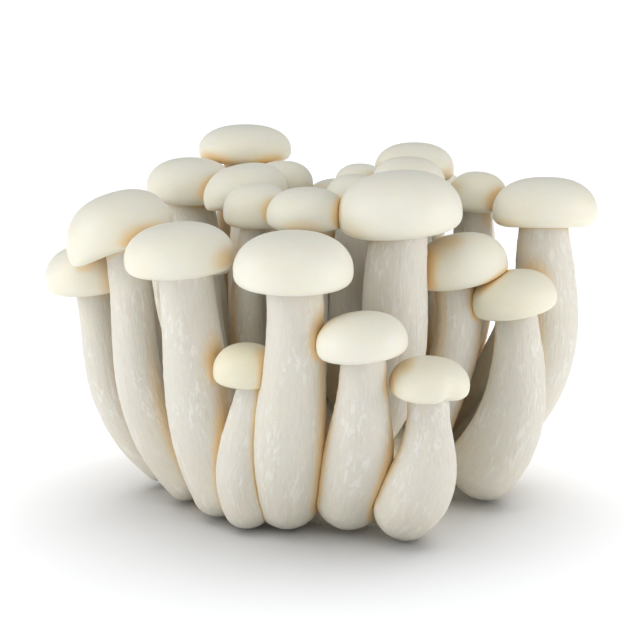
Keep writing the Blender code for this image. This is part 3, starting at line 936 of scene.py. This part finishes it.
def gill_blades(own, seed, tree, flesh_material):
    """The blades of one cap: their places, inner points, coordinates and faces."""
    blank = link(bpy.data.objects.new("gills", bpy.data.meshes.new("gills")))
    gills = int(2 * math.pi * 0.6 * own.cap_radius / GILL_PITCH / 2)
    values = {
        "Gills": gills, "Thickness": GILL_THICKNESS, "Depth": GILL_DEPTH, "Belly": GILL_BELLY,
        "Short start": 0.45, "Unevenness": 0.35, "Seed": seed, "Flesh": flesh_material,
    }
    mesh = grown(blank, tree, values)
    bpy.data.objects.remove(blank)
    count = len(mesh.vertices)
    unrolled = np.zeros(count * 3, np.float32)
    mesh.vertices.foreach_get("co", unrolled)
    turn = np.zeros(count, np.float32)
    mesh.attributes["turn"].data.foreach_get("value", turn)
    faces = [tuple(face.vertices) for face in mesh.polygons]
    bpy.data.meshes.remove(mesh)
    side, along, hang = unrolled.reshape(-1, 3).astype(float).T
    rise = own.cap_height * GILL_RISE
    outer = own.cap_point(GILL_OUTER - 0.01, MARGIN_TUCK + hang, turn)
    inner = own.collar(own.radius(1.0) - 0.3, rise + hang, turn)
    across = np.outer(-np.sin(turn), own.across) + np.outer(np.cos(turn), own.depth)
    points = inner + (outer - inner) * along[:, None] + across * side[:, None]
    heart = own.cap_base + own.axis * own.cap_height * WIDEST_LEVEL
    return points, np.broadcast_to(heart, points.shape), points - own.cap_base, faces


def pressed(own, points, inner):
    """The points, drawn in towards the mushroom's own middle wherever a neighbour crowds it."""
    others = [other for other in MUSHROOMS.values() if other is not own]

    def clear(places):
        room = foot_distance(places) + FOOT_SINK
        inside = own.distance(places)
        for other in others:
            near = other.near(places, 1.0)
            if near.any():
                room[near] = np.minimum(room[near], other.distance(places[near]) - inside[near] - GAP)
        return room >= 0

    crowded = np.flatnonzero(~clear(points))
    start, way = inner[crowded], (points - inner)[crowded]
    low = np.full(len(crowded), DEEPEST_PRESS)
    high = np.ones(len(crowded))
    for _ in range(PRESS_STEPS):
        middle = (low + high) / 2
        good = clear(start + way * middle[:, None])
        low = np.where(good, middle, low)
        high = np.where(good, high, middle)
    points = points.copy()
    points[crowded] = start + way * low[:, None]
    points[:, 2] = np.maximum(points[:, 2], FLOOR_CLEARANCE)
    return points


def closeness(own, points, normals, on_stem):
    """From 0 in the open to 1 where other flesh stands close before a point; it sets how much warm shade is
    painted into the colour there.
    """
    total = np.zeros(len(points))
    for reach, weight in ((1.2, 0.3), (3.5, 0.35), (8.0, 0.35)):
        at = points + normals * reach
        room = np.minimum(np.full(len(at), reach), np.maximum(foot_distance(at), 0))
        room[on_stem] = np.minimum(room[on_stem], own.cap_distance(at[on_stem]))
        for other in MUSHROOMS.values():
            if other is own:
                continue
            near = other.near(at, reach)
            if near.any():
                room[near] = np.minimum(room[near], other.distance(at[near]))
        total += weight * (1 - np.clip(room / reach, 0, 1))
    return total


def fibres(recipe):
    """The stem's fibrils and its small flakes, both from 0 to 1, on coordinates that run along it."""
    skin = recipe.attribute("skin", vector=True)
    strands = recipe.noise(recipe.stretch(skin, (1.5, 1.5, 0.20)), detail=4.0, roughness=0.6, distortion=0.5)
    ridges = 1 - abs(strands * 2 - 1)
    flake = recipe.noise(recipe.stretch(skin, (1.1, 1.1, 0.34)), detail=2.0, roughness=0.5, distortion=0.9)
    patches = recipe.noise(recipe.stretch(skin, (0.22, 0.22, 0.09)), detail=2.0)
    return ridges**2.0, flake.between(0.52, 0.62) * patches.between(0.42, 0.6)


def fibril_tree():
    """Fibrils and flakes raised along the stem, and the three finishes of a mushroom."""
    names = ("Cap skin", "Gill flesh", "Stem skin")
    recipe, given = geometry_tree("stem_fibrils", ("Fibril height", "Flake height"), names)
    ridges, flakes = fibres(recipe)
    height = (ridges - 0.5) * given["Fibril height"] + flakes * given["Flake height"]
    geometry = raised(recipe, given["Geometry"], height * recipe.attribute("fibrous"))
    for number, name in enumerate(names):
        geometry = on_layer(recipe, geometry, number, given[name])
    return end_tree(recipe, geometry)


def cap_paint(recipe):
    skin = recipe.attribute("skin", vector=True)
    clouds = recipe.noise(recipe.stretch(skin, (0.16, 0.16, 0.16)), detail=2.0)
    silk = recipe.noise(recipe.stretch(skin, (1.1, 1.1, 1.1)), detail=5.0, roughness=0.6)
    cream = recipe.attribute("cream") * 0.75 + clouds.between(0.3, 0.7) * 0.25
    colour = recipe.mix(cream, (0.900, 0.880, 0.785, 1), (0.885, 0.825, 0.625, 1))
    colour = recipe.mix(silk.between(0.35, 0.75) * 0.18, colour, (0.93, 0.915, 0.855, 1))
    return crevice_shaded(recipe, colour), silk, silk, 0.035


def gill_paint(recipe):
    skin = recipe.attribute("skin", vector=True)
    grain = recipe.noise(recipe.stretch(skin, (1.6, 1.6, 1.6)), detail=3.0)
    colour = recipe.mix(grain, (0.90, 0.85, 0.73, 1), (0.93, 0.90, 0.82, 1))
    return crevice_shaded(recipe, colour, 0.5), grain, grain, 0.05


def stem_paint(recipe):
    skin = recipe.attribute("skin", vector=True)
    ridges, flakes = fibres(recipe)
    fine = recipe.noise(recipe.stretch(skin, (3.6, 3.6, 0.5)), detail=4.0, roughness=0.65, distortion=0.3)
    clouds = recipe.noise(recipe.stretch(skin, (0.14, 0.14, 0.05)), detail=2.0)
    colour = recipe.mix(clouds.between(0.3, 0.7) * 0.6, (0.815, 0.785, 0.710, 1), (0.800, 0.760, 0.655, 1))
    colour = recipe.mix((1 - ridges) * 0.45, colour, (0.68, 0.62, 0.51, 1))
    colour = recipe.mix(flakes * 0.6, colour, (0.92, 0.905, 0.86, 1))
    low = 1 - recipe.attribute("height").between(0.0, 0.30)
    colour = recipe.mix(low * 0.35, colour, (0.80, 0.73, 0.58, 1))
    return crevice_shaded(recipe, colour), fine, ridges * 0.4 + fine * 0.6, 0.16


def make_mushroom(number, own, trees, finishes):
    seed = int(number)
    skin = Skin(seed)
    cap_rings(own, skin)
    under_rings(own, skin)
    stem_rings(own, skin, FRONT_STEM_MESH if number in FRONT_ROW else STEM_MESH)
    by_band = bands(skin.counts())
    faces = [face for band in by_band for face in band]
    layers = [skin.layers[index + 1] for index, band in enumerate(by_band) for _ in band]
    body = np.vstack(skin.points)
    grown_blades = gill_blades(own, seed, trees["gills"], finishes["Gill flesh"])
    blades, blade_inner, blade_skin, blade_faces = grown_blades
    faces += [tuple(corner + len(body) for corner in face) for face in blade_faces]
    layers += [GILL_LAYER] * len(blade_faces)

    def with_blades(of_body, of_blades):
        return np.concatenate([np.concatenate(of_body), of_blades])

    count = len(blades)
    points = pressed(own, np.vstack([body, blades]), with_blades(skin.inner, blade_inner))
    stem_part = np.repeat([layer == STEM_LAYER for layer in skin.layers], skin.counts())
    values = {
        "fibrous": with_blades(skin.fibrous, np.zeros(count)),
        "height": with_blades(skin.height, np.full(count, 0.5)),
        "cream": np.full(len(points), own.cream),
    }
    vectors = {"skin": with_blades(skin.coordinates, blade_skin)}
    mesh = body_mesh(f"grown_mushroom_{number}", points, faces, values, vectors, layers)
    normals = np.zeros(len(points) * 3, np.float32)
    mesh.vertices.foreach_get("normal", normals)
    on_stem = np.concatenate([stem_part, np.zeros(count, bool)])
    # Painted crevice shade: the closer other flesh stands before a point, the more warm shade is painted into
    # its colour; the gill blades get an even, middling share.
    crevice_shade = closeness(own, points, normals.reshape(-1, 3).astype(float), on_stem)
    crevice_shade[len(body):] = 0.5
    mesh.attributes.new("crevice_shade", "FLOAT", "POINT").data.foreach_set("value", crevice_shade.astype(np.float32))
    piece = link(bpy.data.objects.new(f"grown_mushroom_{number}", mesh))
    sizes = {"Fibril height": FIBRIL_HEIGHT, "Flake height": FLAKE_HEIGHT}
    piece.data = grown(piece, trees["fibrils"], {**sizes, **finishes})
    piece.data.set_sharp_from_angle(angle=math.radians(60))
    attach(piece, "root")
    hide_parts(f"mushroom_{number}")


def grow_bunch():
    trees = {"gills": gill_tree(), "fibrils": fibril_tree()}
    finishes = {
        "Cap skin": flesh("cap_skin", cap_paint, (0.34, 0.52), 0.35),
        "Gill flesh": flesh("gill_flesh", gill_paint, (0.6, 0.8), 0.3),
        "Stem skin": flesh("stem_skin", stem_paint, (0.5, 0.75), 0.35),
    }
    for number, own in MUSHROOMS.items():
        make_mushroom(number, own, trees, finishes)


grow_bunch()
